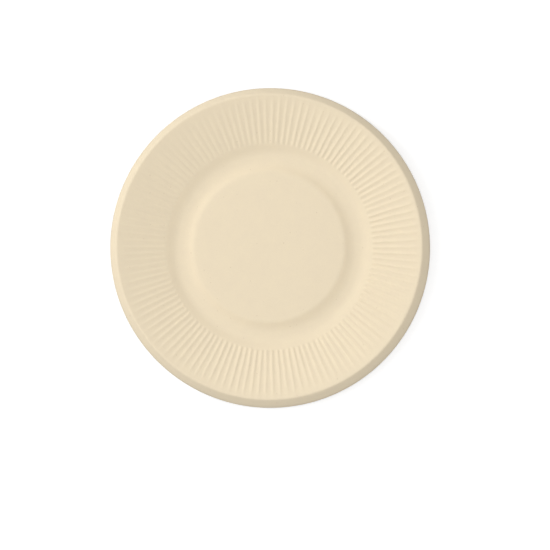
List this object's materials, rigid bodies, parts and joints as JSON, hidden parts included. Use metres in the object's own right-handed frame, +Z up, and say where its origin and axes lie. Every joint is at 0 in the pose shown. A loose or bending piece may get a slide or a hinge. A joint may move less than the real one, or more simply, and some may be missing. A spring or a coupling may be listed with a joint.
{
  "type": "paper plate",
  "caption": "Round pressed paper plate with a raised middle, a finely fluted rim and a turned-down lip, for serving food.",
  "frame": {"origin": "centre of the round cut edge, on the plane of the ring that the plate stands on", "axes": "+Z up out of the eating side, along the axis of the round; +X and +Y lie in the standing plane, and the lip is widest between +X and -Y"},
  "size_m": [0.229, 0.229, 0.0131],
  "materials": {
    "pressed_paper": "matte"
  },
  "bodies": {
    "root": {"plate": "pressed_paper"}
  },
  "joints": []
}
